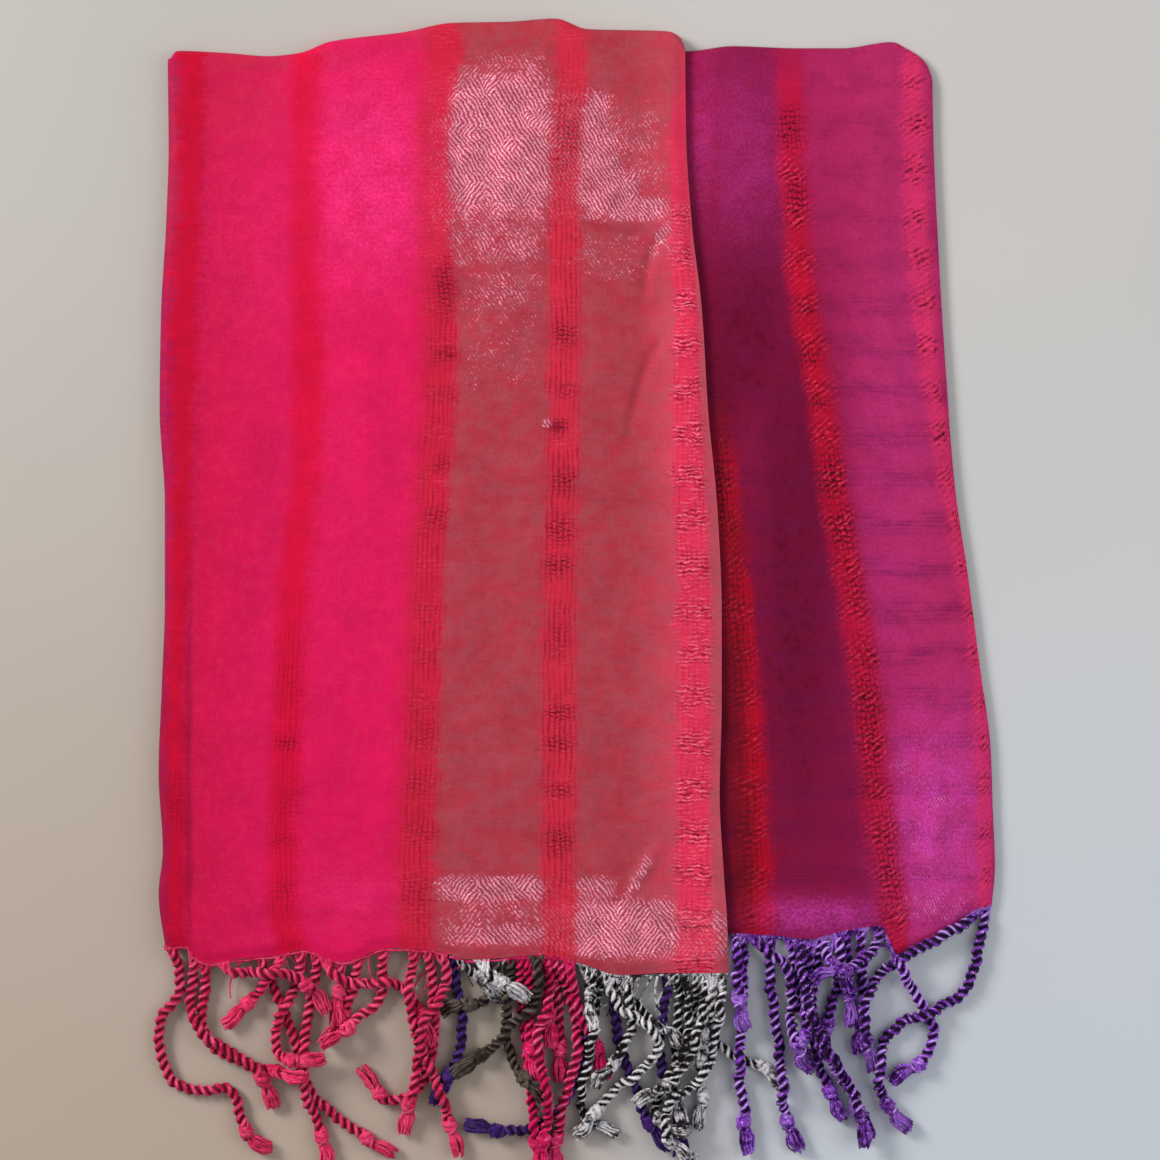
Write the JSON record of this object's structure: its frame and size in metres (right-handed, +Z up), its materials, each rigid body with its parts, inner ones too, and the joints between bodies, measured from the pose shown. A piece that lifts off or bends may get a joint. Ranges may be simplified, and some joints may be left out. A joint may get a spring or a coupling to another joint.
{
  "type": "folded striped shawl",
  "caption": "Striped shawl folded flat, a pink and rose stretch lying over a purple one, with a twisted fringe spread out at its lower end.",
  "frame": {"origin": "on the surface the shawl rests on, under the middle of its box", "axes": "+Z up from the surface, +Y from the fringe to the crosswise fold, +X from the lengthwise fold to the selvedge"},
  "size_m": [0.4027, 0.5562, 0.0176],
  "materials": {
    "pink_cloth": "soft twill in warp stripes of hot pink, red and rose, with a slight sheen",
    "purple_cloth": "soft twill in warp stripes of purple and red, with a slight sheen",
    "hidden_cloth": "the same cloth, where only its edges show",
    "pink_yarn": "twisted two-ply strands, matt with small glints",
    "mixed_yarn": "twisted strands of brown-grey and of pink",
    "grey_yarn": "twisted strands of black, grey and white",
    "purple_yarn": "twisted strands, matt with lilac glints",
    "under_yarn": "twisted strands of the hidden end"
  },
  "bodies": {
    "root": {"upper_fold": "pink_cloth", "lower_fold": "purple_cloth", "inner_layers": "hidden_cloth", "pink_fringe": "pink_yarn", "middle_fringe": "mixed_yarn", "grey_fringe": "grey_yarn", "purple_fringe": "purple_yarn", "under_fringe": "under_yarn"}
  },
  "joints": []
}
